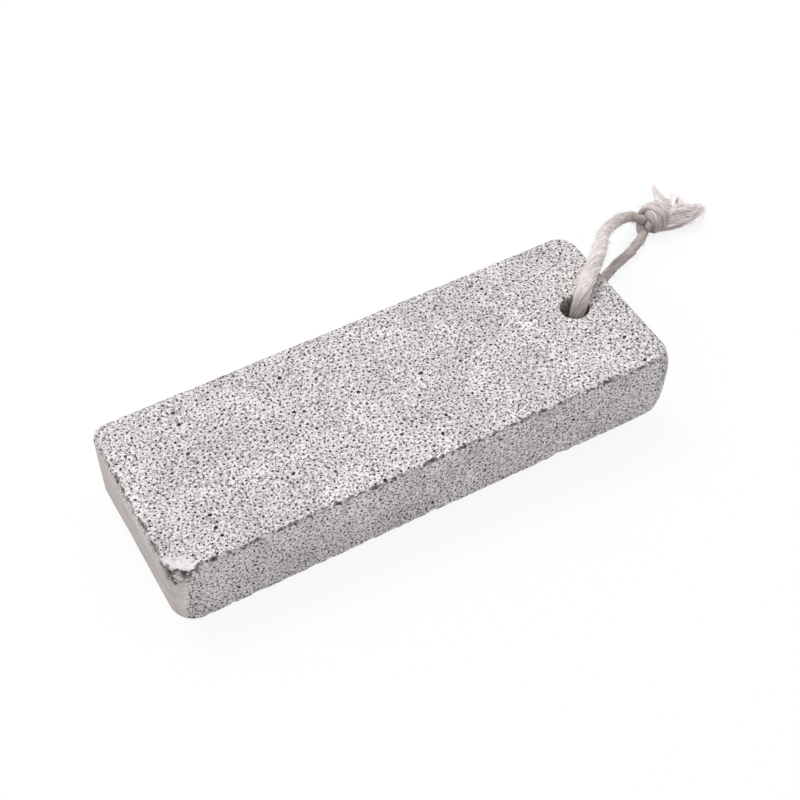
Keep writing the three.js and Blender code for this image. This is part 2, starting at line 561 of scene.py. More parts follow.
def hairs_on(first, last, density=1.0):
    """Loose hairs on the cord between two rings."""
    count = round((distances[last] - distances[first]) * HAIRS_PER_METRE * density)
    rings = hair_dice.integers(first, last + 1, count)
    angles = hair_dice.uniform(0, 2 * math.pi, count)
    lengths = hair_dice.uniform(*HAIR_LENGTH, count) * hair_dice.uniform(0.4, 1, count)
    radii = hair_dice.uniform(*HAIR_RADIUS, count)
    lean = hair_dice.uniform(-1.6, 1.6, count)
    curl = hair_dice.normal(0, 0.7, (count, 3))
    lines = np.zeros((count, HAIR_RINGS, 3))
    for k in range(count):
        right, up = cord_frames[rings[k]]
        outward = math.cos(angles[k]) * right + math.sin(angles[k]) * up
        along = np.cross(right, up)
        place = whole_line[rings[k]] + outward * ring_radius(rings[k]) * 0.9
        heading = outward + lean[k] * along
        heading /= np.linalg.norm(heading)
        for step, share in enumerate(np.linspace(0, 1, HAIR_RINGS)):
            lines[k, step] = place + lengths[k] * (share * heading + share * share * 0.35 * curl[k])
    lines[..., 2] = np.maximum(lines[..., 2], 0.05 * MM)
    taper = np.linspace(1, 0.4, HAIR_RINGS)[None] * radii[:, None]
    return thin_tubes(lines, taper, HAIR_SIDES, np.zeros(count), [darkening_share(ring) for ring in rings])


loop_piece = new_piece("twisted_loop", [ply_part(*knot_ends), hairs_on(*knot_ends)])
knot_piece = new_piece("tied_knot", [
    ply_part(0, knot_ends[0]),
    ply_part(knot_ends[1], len(whole_line) - 1),
    hairs_on(0, knot_ends[0], 2.4),
    hairs_on(knot_ends[1], len(whole_line) - 1, 2.4),
])
print("loop faces", len(loop_piece.data.polygons), "knot faces", len(knot_piece.data.polygons))

# %% [markdown]
# Both ends of the cord are cut and have frayed. A frayed end is not a cone: the plies open into
# wavy yarns, and the yarns open into single fibres of different lengths. So each end is grown as a
# brush. Every fibre keeps its own place across the brush, it belongs to one of a few clumps, and
# it wanders more the further it is from the knot. The long end is one full brush. The short end
# fans out: one pointed wisp, and two weak tufts beside it.

# %% Frayed ends
fray_dice = np.random.default_rng(23)


def in_disc(count):
    """Random places in a disc of radius one."""
    radius = np.sqrt(fray_dice.uniform(0, 1, count))
    angle = fray_dice.uniform(0, 2 * math.pi, count)
    return np.column_stack([radius * np.cos(angle), radius * np.sin(angle)])


def brush(route, widths, fibres, rings, thickness, sides=4, clumps=7, spread=0.42, wander=0.3,
          reach=(0.6, 1.04), darkening_amount=0.0):
    """Fibres along a route. widths are the brush's radii in mm, evenly shared along the route."""
    centre = respaced(smooth_line(np.array(route) * MM), 0.1 * MM)
    frames = carried_frames(centre)
    share_of_route = np.linspace(0, 1, len(centre))
    width = np.interp(share_of_route, np.linspace(0, 1, len(widths)), widths) * MM
    clump_places = 0.75 * in_disc(clumps)
    clump = fray_dice.integers(0, clumps, fibres)
    place = clump_places[clump] + spread * in_disc(fibres)
    place /= np.maximum(np.linalg.norm(place, axis=1), 1)[:, None]
    ends = fray_dice.uniform(*reach, fibres) * (1.06 - 0.12 * np.linalg.norm(place, axis=1))
    phase = fray_dice.uniform(0, 2 * math.pi, (fibres, 2, 3))
    clump_phase = fray_dice.uniform(0, 2 * math.pi, (clumps, 2))
    strength = fray_dice.uniform(0.2, 1, fibres) * wander
    lines = np.zeros((fibres, rings, 3))
    for ring in range(rings):
        share = ends * ring / (rings - 1)
        at = np.clip(share * (len(centre) - 1), 0, len(centre) - 1.001)
        low = at.astype(int)
        part = (at - low)[:, None]
        middle = centre[low] * (1 - part) + centre[low + 1] * part
        beyond = np.maximum(share - 1, 0)[:, None] * (centre[-1] - centre[-8]) / 7 * len(centre)
        wave = sum(
            np.sin(phase[:, :, k] + (3.1 + 4.3 * k) * share[:, None]) / (1 + k) for k in range(3))
        sway = 0.16 * np.sin(clump_phase[clump] + 5 * share[:, None])
        across = place + (wave * strength[:, None] + sway) * np.minimum(1.6 * share, 1)[:, None]
        radius = width[low][:, None]
        lines[:, ring] = (middle + beyond + radius * across[:, :1] * frames[low, 0]
                          + radius * across[:, 1:] * frames[low, 1])
    lines[..., 2] = np.maximum(lines[..., 2], 0.12 * MM)
    radii = fray_dice.uniform(*thickness, fibres)[:, None] * np.linspace(1, 0.5, rings)[None] * MM
    # Painted shade: some clumps of fibres are darkened at random, for the shaded streaks and edges of the frayed
    # ends.
    clump_darkening = darkening_amount * np.maximum(1.5 * fray_dice.uniform(0, 1, clumps)[clump] - 0.5, 0)
    return thin_tubes(lines, radii, sides, fray_dice.uniform(0, 0.6, fibres) * (1.2 - ends), clump_darkening)


LONG_END = [
    (94.9, 31.3, 3.9), (97.4, 30.2, 3.4), (99.6, 29.9, 2.9), (102.3, 29.7, 2.6),
    (105.3, 29.9, 2.2), (107.9, 30.3, 1.6), (109.4, 30.5, 1.2),
]
LOWER_PLY = [
    (93.8, 29.2, 2.7), (95.6, 28.4, 2.5), (98.2, 28.3, 2.1), (100.9, 28.5, 1.8),
    (104.3, 29.2, 1.5), (107.1, 30.0, 1.2), (108.9, 30.5, 1.0),
]
WISP = [
    (96.4, 30.7, 5.0), (98.6, 31.5, 5.2), (98.7, 34.3, 4.8),
    (99.7, 37.4, 4.0), (101.1, 40.8, 2.9), (102.5, 43.7, 1.9),
]
MIDDLE_TUFT = [(99.2, 31.0, 4.6), (101.2, 32.6, 4.8), (103.0, 34.6, 4.2), (104.2, 37.0, 3.4)]
LOW_TUFT = [(99.2, 31.0, 4.6), (101.6, 31.8, 4.5), (103.8, 33.2, 4.0), (105.6, 35.0, 3.2)]
LONG_WIDTHS = (2.0, 2.5, 2.6, 2.45, 2.0, 1.4, 0.8)
PLY_WIDTHS = (0.9, 1.05, 1.05, 0.95, 0.8, 0.5)
WISP_WIDTHS = (1.6, 1.9, 1.5, 0.95, 0.55, 0.2)

# The frayed ends get painted shade on clumps of fibres: most on the wisp and on the lower ply, which carries on
# from the darker strand under the bar.
long_piece = new_piece("frayed_long_end", [
    brush(LONG_END, LONG_WIDTHS, 46, 16, (0.26, 0.4), sides=7, clumps=11, spread=0.3, wander=0.3,
          reach=(0.62, 0.93), darkening_amount=1.1),
    brush(LONG_END, LONG_WIDTHS, 320, 14, (0.07, 0.13), clumps=12, wander=0.5, reach=(0.6, 1.02), darkening_amount=0.6),
    brush(LONG_END, LONG_WIDTHS, 300, 12, (0.025, 0.045), clumps=30, wander=0.9),
    brush(LOWER_PLY, PLY_WIDTHS, 26, 16, (0.2, 0.32), sides=7, clumps=6, spread=0.4, wander=0.3,
          reach=(0.8, 1.0), darkening_amount=1.5),
    brush(LOWER_PLY, PLY_WIDTHS, 120, 14, (0.06, 0.1), clumps=9, wander=0.4, reach=(0.7, 1.03), darkening_amount=1.3),
])
short_piece = new_piece("frayed_short_end", [
    brush(WISP, WISP_WIDTHS, 70, 14, (0.22, 0.36), sides=7, clumps=12, spread=0.25, wander=0.1,
          reach=(0.7, 0.97), darkening_amount=2.8),
    brush(WISP, WISP_WIDTHS, 420, 14, (0.06, 0.11), clumps=16, wander=0.2, reach=(0.6, 1.02), darkening_amount=2.6),
    brush(WISP, (1.6, 1.8, 1.6, 1.2, 0.9, 0.6), 90, 10, (0.025, 0.04), clumps=6, wander=0.8),
    brush(MIDDLE_TUFT, (1.6, 1.5, 1.2, 0.8), 18, 12, (0.16, 0.26), sides=7, clumps=9, wander=0.3,
          reach=(0.4, 0.8), darkening_amount=0.2),
    brush(MIDDLE_TUFT, (1.7, 1.7, 1.4, 1.0), 140, 10, (0.04, 0.08), clumps=10, wander=0.5, reach=(0.4, 1.0),
          darkening_amount=0.3),
    brush(LOW_TUFT, (1.4, 1.3, 1.1, 0.8), 60, 10, (0.03, 0.05), clumps=10, wander=0.6, reach=(0.3, 0.9),
          darkening_amount=0.4),
])
print("fray faces", len(long_piece.data.polygons), len(short_piece.data.polygons))

# %% [markdown]
# Now the stone. It was sawn as a plain block, so it starts as a cube that is stretched to size.
# The four upright corners were rounded on a belt, two of them more than the others, so they are
# bevelled first, and the edges of the top and the bottom get a small worn bevel after that. The
# block is then cut by planes into a coarse grid, because the surface gets slightly uneven later
# and needs points to move.

# %% The sawn block
BAR_LENGTH = 120 * MM
BAR_WIDTH = 44 * MM
BAR_THICKNESS = 17.8 * MM
CORNER_RADII = {(-1, -1): 5.5 * MM, (1, -1): 4.6 * MM, (-1, 1): 3.5 * MM, (1, 1): 4.5 * MM}
EDGE_WEAR = 0.7 * MM
GRID_STEP = 3 * MM


def select_edges(mesh, wanted):
    """Selects just the edges for which wanted(edge) is true, in edit mode."""
    bpy.ops.mesh.select_mode(type="EDGE")
    bpy.ops.mesh.select_all(action="DESELECT")
    shape = bmesh.from_edit_mesh(mesh)
    for edge in shape.edges:
        edge.select_set(wanted(edge))
    bmesh.update_edit_mesh(mesh)


def is_upright_at(side_x, side_y):
    def wanted(edge):
        low, high = sorted((vert.co for vert in edge.verts), key=lambda place: place.z)
        return high.z - low.z > BAR_THICKNESS / 2 and low.x * side_x > 0 and low.y * side_y > 0
    return wanted


def is_rim(edge):
    flat = abs(edge.verts[0].co.z - edge.verts[1].co.z) < 1e-6
    return flat and abs(edge.link_faces[0].normal.z - edge.link_faces[1].normal.z) > 0.5


def sawn_block():
    bpy.ops.object.select_all(action="DESELECT")
    bpy.ops.mesh.primitive_cube_add(size=1, location=(0, 0, BAR_THICKNESS / 2))
    block = bpy.context.object
    block.name = "pumice_bar"
    block.scale = (BAR_LENGTH, BAR_WIDTH, BAR_THICKNESS)
    bpy.ops.object.transform_apply(location=True, scale=True)
    bpy.ops.object.mode_set(mode="EDIT")
    for (side_x, side_y), radius in CORNER_RADII.items():
        select_edges(block.data, is_upright_at(side_x, side_y))
        bpy.ops.mesh.bevel(offset=radius, segments=9, affect="EDGES")
    select_edges(block.data, is_rim)
    bpy.ops.mesh.bevel(offset=EDGE_WEAR, segments=2, affect="EDGES")
    for axis, (low, high) in enumerate((
            (-BAR_LENGTH / 2, BAR_LENGTH / 2), (-BAR_WIDTH / 2, BAR_WIDTH / 2), (0, BAR_THICKNESS))):
        for place in np.linspace(low, high, round((high - low) / GRID_STEP) + 1)[1:-1]:
            bpy.ops.mesh.select_all(action="SELECT")
            cut_place, cut_normal = [0, 0, 0], [0, 0, 0]
            cut_place[axis], cut_normal[axis] = place, 1
            bpy.ops.mesh.bisect(plane_co=cut_place, plane_no=cut_normal)
    bpy.ops.mesh.select_all(action="SELECT")
    bpy.ops.mesh.quads_convert_to_tris()
    bpy.ops.object.mode_set(mode="OBJECT")
    return block


bar = sawn_block()
print("sawn block has", len(bar.data.polygons), "faces")

# %% [markdown]
# Everything that is missing from the block is cut away with Boolean modifiers. Blender's Manifold
# solver is fast enough to cut thousands of pores at once, as long as the cutters in one go do not
# touch each other. Each kind of cut gets its own material slot, and the solver hands that slot on
# to the faces it makes. The slots tell the cuts apart later, when the surface is unwrapped.

# %% Cutting
CUTS = ("skin", "top pores", "under pores", "side pores", "hole", "chips", "break")


def tool_from(points, faces, cut):
    """A cutter object whose faces all carry the slot of this kind of cut."""
    mesh = bpy.data.meshes.new("cutter")
    mesh.from_pydata(np.asarray(points).tolist(), [], [list(face) for face in faces])
    for name in CUTS:
        mesh.materials.append(bpy.data.materials.get(name) or bpy.data.materials.new(name))
    mesh.polygons.foreach_set("material_index", np.full(len(mesh.polygons), CUTS.index(cut)))
    mesh.update()
    tool = bpy.data.objects.new("cutter", mesh)
    bpy.context.collection.objects.link(tool)
    return tool


def cut_away(target, tool):
    """Cuts the tool out of the target, and throws the tool away."""
    bpy.ops.object.select_all(action="DESELECT")
    bpy.context.view_layer.objects.active = target
    modifier = target.modifiers.new("cut", "BOOLEAN")
    modifier.operation = "DIFFERENCE"
    modifier.solver = "MANIFOLD"
    modifier.object = tool
    bpy.ops.object.modifier_apply(modifier=modifier.name)
    mesh = tool.data
    bpy.data.objects.remove(tool)
    bpy.data.meshes.remove(mesh)


def taken_apart(piece):
    """Points and faces of a modelled shape, which is then removed."""
    points = np.array([vert.co[:] for vert in piece.data.vertices])
    faces = [list(face.vertices) for face in piece.data.polygons]
    mesh = piece.data
    bpy.data.objects.remove(piece)
    bpy.data.meshes.remove(mesh)
    return points, faces


for name in CUTS:
    bar.data.materials.append(bpy.data.materials.get(name) or bpy.data.materials.new(name))
print("slots", [slot.name for slot in bar.data.materials])

# %% [markdown]
# The hole was drilled straight through, and its rims have worn a little wider. The drill is a disc
# that is extruded down through the stone and scaled on the way.

# %% Drill the hole
HOLE_RADIUS = 3.4 * MM
HOLE_PLACE = (BAR_LENGTH / 2 - 11.2 * MM, 0.6 * MM)
RIM_WEAR = 0.2 * MM
PAST = 0.3 * MM


def drill():
    wide = (HOLE_RADIUS + RIM_WEAR + PAST) / HOLE_RADIUS
    bpy.ops.object.select_all(action="DESELECT")
    bpy.ops.mesh.primitive_circle_add(
        vertices=36, radius=HOLE_RADIUS * wide, fill_type="NGON",
        location=(*HOLE_PLACE, BAR_THICKNESS + PAST))
    piece = bpy.context.object
    bpy.ops.object.transform_apply(location=True)
    bpy.ops.object.mode_set(mode="EDIT")
    bpy.ops.mesh.select_all(action="SELECT")
    drops = (RIM_WEAR + PAST, (BAR_THICKNESS - 2 * RIM_WEAR) / 2, (BAR_THICKNESS - 2 * RIM_WEAR) / 2,
             RIM_WEAR + PAST)
    for drop, scale in zip(drops, (1 / wide, 1, 1, wide)):
        bpy.ops.mesh.extrude_region_move(TRANSFORM_OT_translate={"value": (0, 0, -drop)})
        bpy.ops.transform.resize(
            value=(scale, scale, 1), center_override=(*HOLE_PLACE, 0))
    bpy.ops.mesh.select_all(action="SELECT")
    bpy.ops.mesh.normals_make_consistent(inside=False)
    bpy.ops.object.mode_set(mode="OBJECT")
    return taken_apart(piece)


cut_away(bar, tool_from(*drill(), "hole"))
print("drilled block has", len(bar.data.polygons), "faces")

# %% [markdown]
# The edges of soft stone crumble. Small lumps are taken out along the edges, each a crude ball
# with its points pushed about. They sit in a row with gaps, so no two of them touch, and a second
# row with other sizes makes the edge ragged.

# %% Crumble the edges
chip_dice = np.random.default_rng(7)


def crude_ball(divisions=1):
    bpy.ops.object.select_all(action="DESELECT")
    bpy.ops.mesh.primitive_ico_sphere_add(subdivisions=divisions, radius=1, location=(0, 0, 0))
    return taken_apart(bpy.context.object)


ball_points, ball_faces = crude_ball()
fine_ball_points, fine_ball_faces = crude_ball(3)


def chip_row(start, end, sizes, density, offset=0.0):
    """Lumps along a straight edge. sizes are the least and greatest radius, density is how full."""
    start, end = Vector(start), Vector(end)
    length = (end - start).length
    along = (end - start).normalized()
    at = chip_dice.uniform(0, sizes[1])
    points, faces = [], []
    while True:
        radius = chip_dice.uniform(*sizes) * chip_dice.uniform(0.6, 1)
        stretch = chip_dice.uniform(0.9, 2.2)
        half = radius * stretch * 1.25
        at += half
        if at + half > length:
            break
        spot = start + along * at
        if chip_dice.uniform() < density:
            shape = ball_points * (1 + chip_dice.uniform(-0.22, 0.22, (len(ball_points), 1)))
            turn = chip_dice.uniform(0, 2 * math.pi)
            shape = shape @ np.array(Matrix.Rotation(turn, 3, along))
            shape = shape + (stretch - 1) * (shape @ np.array(along))[:, None] * np.array(along)
            faces += [[corner + len(points) * len(ball_points) for corner in face] for face in ball_faces]
            points.append(np.array(spot) + radius * shape + offset * np.array((0, 0, 1)) * MM)
        at += half + 0.1 * MM
    return np.vstack(points), faces


def edge_line(side_y, height, inset=0.0):
    """Ends of the long edge on one side, between the rounded corners."""
    reach = BAR_LENGTH / 2 - 4 * MM
    place = side_y * (BAR_WIDTH / 2 - inset)
    return (-reach, place, height), (reach, place, height)


def end_line(side_x, height):
    reach = BAR_WIDTH / 2 - 4.5 * MM
    return (side_x * BAR_LENGTH / 2, -reach, height), (side_x * BAR_LENGTH / 2, reach, height)


CHIP_ROWS = [
    (edge_line(-1, BAR_THICKNESS), (0.4 * MM, 1.3 * MM), 0.9),
    (edge_line(1, BAR_THICKNESS), (0.3 * MM, 0.85 * MM), 0.7),
    (edge_line(-1, 0), (0.35 * MM, 1.2 * MM), 0.9),
    (edge_line(1, 0), (0.3 * MM, 0.8 * MM), 0.6),
    (end_line(-1, BAR_THICKNESS), (0.5 * MM, 1.6 * MM), 0.9),
    (end_line(1, BAR_THICKNESS), (0.3 * MM, 0.8 * MM), 0.7),
    (end_line(-1, 0), (0.25 * MM, 0.6 * MM), 0.5),
    (end_line(1, 0), (0.3 * MM, 0.8 * MM), 0.6),
]
for row_round in range(2):
    for line, sizes, density in CHIP_ROWS:
        cut_away(bar, tool_from(*chip_row(*line, sizes, density), "chips"))
print("crumbled block has", len(bar.data.polygons), "faces")

# %% [markdown]
# One top corner has broken away. The break is two overlapping shallow scoops with rough walls, so
# the tool is a finer ball whose points are moved by noise. Only the part of it that reaches into
# the corner is cut.

# %% The broken corner
BREAKS = [
    ((-60.8, -18.7, 15.8), (2.4, 2.3, 2.7), 0.6),
    ((-60.0, -20.6, 13.6), (2.0, 2.0, 2.4), 0.8),
    ((-58.3, -22.3, 17.0), (2.9, 2.4, 2.2), 0.6),
    ((-57.0, -22.9, 14.8), (2.4, 2.0, 1.8), 0.8),
    ((-54.6, -23.3, 17.2), (2.6, 2.0, 1.4), 0.6),
]


def rough_ball(place, radii, roughness):
    points = []
    for point in fine_ball_points:
        bump = noise.noise(Vector(point) * 2.3 + Vector(place)) * roughness
        bump += noise.noise(Vector(point) * 5.1 + Vector(place)) * roughness * 0.5
        points.append((point * (1 + bump)) * np.array(radii) * MM + np.array(place) * MM)
    return np.array(points), fine_ball_faces


for place, radii, roughness in BREAKS:
    cut_away(bar, tool_from(*rough_ball(place, radii, roughness), "break"))
print("broken block has", len(bar.data.polygons), "faces")

# %% [markdown]
# Pumice is stone foam. Where the saw opened a bubble, the surface has a round pit. Three kinds of
# pit are modelled once each: a wide one with a curved wall, a middle one, and a small one. They
# are discs that are extruded inwards and drawn together. The top of each stands a little above
# the surface, so that the cut is clean.

# %% Three pits to copy
PIT_SIDES = {"wide": 8, "middle": 6, "small": 5}


def pit_shape(sides, curved):
    """A pit of radius one and depth one. Points above the surface have height one."""
    bpy.ops.object.select_all(action="DESELECT")
    bpy.ops.mesh.primitive_circle_add(vertices=sides, radius=1.06, fill_type="NGON", location=(0, 0, 1))
    piece = bpy.context.object
    bpy.ops.object.transform_apply(location=True)
    bpy.ops.object.mode_set(mode="EDIT")
    bpy.ops.mesh.select_all(action="SELECT")
    if curved:
        bpy.ops.mesh.extrude_region_move(TRANSFORM_OT_translate={"value": (0, 0, -1.5)})
        bpy.ops.transform.resize(value=(0.84, 0.84, 1))
        bpy.ops.mesh.extrude_region_move(TRANSFORM_OT_translate={"value": (0, 0, -0.5)})
    else:
        bpy.ops.mesh.extrude_region_move(TRANSFORM_OT_translate={"value": (0, 0, -2)})
    bpy.ops.mesh.merge(type="CENTER")
    bpy.ops.mesh.select_all(action="SELECT")
    bpy.ops.mesh.normals_make_consistent(inside=False)
    bpy.ops.object.mode_set(mode="OBJECT")
    return taken_apart(piece)


pits = {name: pit_shape(sides, name == "wide") for name, sides in PIT_SIDES.items()}
print({name: len(faces) for name, (points, faces) in pits.items()})

# %% [markdown]
# Bubbles in foam keep each other at a distance. Their places are found by throwing darts: a dart
# that lands too near an earlier pit is dropped. Wide pits are thrown first, and the small ones
# fill the room between them. The sides of the bar are one long strip round all four corners, so
# one throw covers them, and a bend turns the strip into the real outline.

# %% Scatter the pits
THROWS = (("wide", 0.46 * MM, 0.58 * MM), ("middle", 0.33 * MM, 0.52 * MM), ("small", 0.16 * MM, 0.28 * MM))
CELL = 1.7 * MM
WALL = 0.05 * MM
pore_dice = np.random.default_rng(5)


def thrown_pits(width, height, throws, allowed=lambda u, v: True):
    """Places and radii of pits in a rectangle that is centred on zero."""
    columns, rows = int(width / CELL) + 3, int(height / CELL) + 3
    cells = [[[] for _ in range(rows)] for _ in range(columns)]
    kept = []
    for (kind, least, most), tries in zip(THROWS, throws):
        for radius, u, v in pore_dice.uniform((least, -width / 2, -height / 2), (most, width / 2, height / 2),
                                              (tries, 3)):
            column, row = int((u + width / 2) / CELL) + 1, int((v + height / 2) / CELL) + 1
            near = [
                pit for a in (-1, 0, 1) for b in (-1, 0, 1)
                for pit in cells[min(max(column + a, 0), columns - 1)][min(max(row + b, 0), rows - 1)]
            ]
            free = all(math.hypot(u - pit[1], v - pit[2]) > 1.08 * (radius + pit[3]) + WALL for pit in near)
            if free and allowed(u, v):
                pit = (kind, u, v, radius)
                cells[column][row].append(pit)
                kept.append(pit)
    return kept


def stamped_pits(places, rise=0.25 * MM):
    """Copies of the three pits at these places, each turned, stretched and deepened by chance."""
    points, faces = [], []
    count = 0
    for kind, u, v, radius in places:
        shape, shape_faces = pits[kind]
        turn, squash = pore_dice.uniform(0, 2 * math.pi), pore_dice.uniform(0.88, 1.13)
        depth = radius * pore_dice.uniform(0.9, 1.7)
        sides = PIT_SIDES[kind]
        side = np.round(np.arctan2(shape[:, 1], shape[:, 0]) / (2 * math.pi) * sides).astype(int) % sides
        ragged = pore_dice.uniform(0.7, 1.04, sides)[side][:, None]
        spun = shape[:, :2] * ragged * (squash, 1 / squash) @ np.array(Matrix.Rotation(turn, 2))
        height = np.where(shape[:, 2] > 0, rise, shape[:, 2] * depth)
        slide = np.where(shape[:, 2] < -0.9, 1, 0)[:, None] * pore_dice.uniform(-0.2, 0.2, 2)
        points.append(np.column_stack([(spun + slide) * radius + (u, v), height]))
        faces += [[corner + count for corner in face] for face in shape_faces]
        count += len(shape)
    return np.vstack(points), faces


print("one throw of small pits gives", len(thrown_pits(10 * MM, 10 * MM, (0, 0, 200))), "in a square centimetre")

# %% The outline of the bar as a strip
OUTLINE_STEP = 0.1 * MM


def outline():
    """Points, outward normals and lengths round the bar, from the middle of the plain end."""
    points, normals = [], []
    for side_x, side_y, start in ((-1, -1, 180), (1, -1, 270), (1, 1, 0), (-1, 1, 90)):
        radius = CORNER_RADII[side_x, side_y]
        centre = np.array((side_x * (BAR_LENGTH / 2 - radius), side_y * (BAR_WIDTH / 2 - radius)))
        for angle in np.radians(np.linspace(start, start + 90, 60)):
            normals.append((math.cos(angle), math.sin(angle)))
            points.append(centre + radius * np.array(normals[-1]))
    middle = np.array((-BAR_LENGTH / 2, 0))
    points = np.vstack([middle, points, middle])
    normals = np.vstack([(-1, 0), normals, (-1, 0)])
    along = np.concatenate([[0], np.cumsum(np.linalg.norm(np.diff(points, axis=0), axis=1))])
    at = np.arange(0, along[-1], OUTLINE_STEP)
    fine = np.column_stack([np.interp(at, along, column) for column in (*points.T, *normals.T)])
    return fine[:, :2], fine[:, 2:] / np.linalg.norm(fine[:, 2:], axis=1)[:, None], at, along[-1]


outline_points, outline_normals, outline_at, outline_length = outline()


def on_strip(points):
    """Bends points from the flat strip round the bar. u is centred on half of the way round."""
    at = points[:, 0] + outline_length / 2
    place = np.column_stack([np.interp(at, outline_at, column) for column in outline_points.T])
    outward = np.column_stack([np.interp(at, outline_at, column) for column in outline_normals.T])
    outward /= np.linalg.norm(outward, axis=1)[:, None]
    return np.column_stack([place + outward * points[:, 2:], points[:, 1] + BAR_THICKNESS / 2])


def in_hole(points):
    """Bends points from a flat strip round the wall of the hole."""
    angle = -points[:, 0] / HOLE_RADIUS
    reach = HOLE_RADIUS - points[:, 2]
    return np.column_stack([
        HOLE_PLACE[0] + reach * np.cos(angle), HOLE_PLACE[1] + reach * np.sin(angle),
        points[:, 1] + BAR_THICKNESS / 2])


def on_top(points):
    return np.column_stack([points[:, 0], points[:, 1], points[:, 2] + BAR_THICKNESS])


def underneath(points):
    return np.column_stack([points[:, 0], -points[:, 1], -points[:, 2]])


print("the outline is", round(outline_length / MM, 1), "mm long")

# %% [markdown]
# Not all of the surface is open. The plain end was pressed against a smooth board and has a closed
# skin that runs round to the near corner, and a patch beside the broken corner is closed too. So
# the darts are dropped there.

# %% Cut the pits
CLOSED_END = -BAR_LENGTH / 2 + 2.0 * MM


def closed_corner(height):
    """How far along the bar the near corner is closed. The skin reaches further near the top."""
    return -BAR_LENGTH / 2 + (2.2 + 3.8 * (height / BAR_THICKNESS) ** 2.5) * MM


def skin_edge(points):
    """How far below the top the closed skin begins, a ragged line that is deepest in the middle."""
    middle = np.clip(1 - np.abs(points[:, 1] + 3 * MM) / (19 * MM), 0, 1)
    ragged = np.array([noise.noise(Vector((0.0, y / (2.5 * MM), 4.0))) for y in points[:, 1]])
    return (1.0 + 2.6 * np.sqrt(middle) + 0.9 * ragged * middle) * MM


def near_break(x, y):
    """One on the dense patch of the top beside the broken corner, falling to nothing round it."""
    along = 0.82 * (x + 57.0 * MM) - 0.57 * (y + 19.4 * MM)
    across = 0.57 * (x + 57.0 * MM) + 0.82 * (y + 19.4 * MM)
    away = np.hypot(along / (5.4 * MM), across / (1.5 * MM))
    return np.clip((1.1 - away) / 0.3, 0, 1)


def open_on_top(u, v):
    return near_break(u, v) < 0.5


def open_on_side(u, v):
    x, y, z = on_strip(np.array([(u, v, 0.0)]))[0]
    if x < (closed_corner(z) if y < 0 else CLOSED_END):
        return x < -BAR_LENGTH / 2 + 1 * MM and BAR_THICKNESS - z < skin_edge(np.array([(x, y, z)]))[0]
    return not (y < -17 * MM and x > 58.2 * MM)


top_pits = thrown_pits(BAR_LENGTH, BAR_WIDTH, (34, 17000, 9000), open_on_top)
under_pits = thrown_pits(BAR_LENGTH, BAR_WIDTH, (40, 5600, 1500))
side_pits = thrown_pits(outline_length, BAR_THICKNESS, (40, 16000, 6000), open_on_side)
hole_pits = thrown_pits(2 * math.pi * HOLE_RADIUS, BAR_THICKNESS - 2 * MM, (0, 420, 300))
for places, bend, cut in (
        (top_pits, on_top, "top pores"), (under_pits, underneath, "under pores"),
        (side_pits, on_strip, "side pores"), (hole_pits, in_hole, "hole")):
    pit_points, pit_faces = stamped_pits(places)
    cut_away(bar, tool_from(bend(pit_points), pit_faces, cut))
    print(cut, len(places), "pits")
bar_triangles = sum(len(face.vertices) - 2 for face in bar.data.polygons)
print("the bar has", bar_triangles, "triangles")

# %% [markdown]
# A deep bubble looks dark, because light hardly comes back out of it. The pits here are only as
# deep as they are wide, so the finish helps them with painted shade: every point stores how far it
# lies below the sawn skin, and the colour will darken with it. The distance comes from a formula for
# a block with rounded corners and rounded edges, which is exact for every pit, whichever side it is on.

# %% Depth below the skin
def side_depth(points):
    """How far inside the upright sides each point is."""
    depth = np.empty(len(points))
    for (side_x, side_y), radius in CORNER_RADII.items():
        here = (points[:, 0] * side_x >= 0) & (points[:, 1] * side_y >= 0)
        over_x = np.abs(points[here, 0]) - (BAR_LENGTH / 2 - radius)
        over_y = np.abs(points[here, 1]) - (BAR_WIDTH / 2 - radius)
        outside = np.hypot(np.maximum(over_x, 0), np.maximum(over_y, 0))
        depth[here] = radius - outside - np.minimum(np.maximum(over_x, over_y), 0)
    return depth


def rounded_meet(one, other, radius):
    """Depth near an edge where two faces meet with a worn round edge."""
    corner = radius - np.hypot(np.maximum(radius - one, 0), np.maximum(radius - other, 0))
    return np.where((one < radius) & (other < radius), corner, np.minimum(one, other))


def skin_depth(points):
    flat = np.minimum(BAR_THICKNESS - points[:, 2], points[:, 2])
    from_hole = np.hypot(points[:, 0] - HOLE_PLACE[0], points[:, 1] - HOLE_PLACE[1]) - HOLE_RADIUS
    depth = rounded_meet(flat, side_depth(points), EDGE_WEAR)
    return np.maximum(rounded_meet(depth, from_hole, RIM_WEAR), 0)


def points_of(mesh):
    points = np.empty(len(mesh.vertices) * 3, np.float32)
    mesh.vertices.foreach_get("co", points)
    return points.reshape(-1, 3).astype(float)


def face_cuts(mesh):
    cuts = np.empty(len(mesh.polygons), np.int32)
    mesh.polygons.foreach_get("material_index", cuts)
    return cuts


def corner_arrays(mesh):
    """The point of every face corner, and the face of every face corner."""
    corners = np.empty(len(mesh.loops), np.int32)
    mesh.loops.foreach_get("vertex_index", corners)
    sizes = np.empty(len(mesh.polygons), np.int32)
    mesh.polygons.foreach_get("loop_total", sizes)
    return corners, np.repeat(np.arange(len(sizes)), sizes)


# The painted shade is scaled by the kind of cut: side pits darken more, chips and the broken corner less.
SHADES = {"side pores": 1.8, "chips": 0.4, "break": 0.15}
bar_points = points_of(bar.data)
corners, corner_faces = corner_arrays(bar.data)
cuts = face_cuts(bar.data)
depth = skin_depth(bar_points)
for cut, shade in SHADES.items():
    touched = np.unique(corners[cuts[corner_faces] == CUTS.index(cut)])
    depth[touched] *= shade
bar.data.attributes.new("depth", "FLOAT", "POINT").data.foreach_set(
    "value", (depth / MM).astype(np.float32))
print("deepest pit", round(depth.max() / MM, 2), "mm")

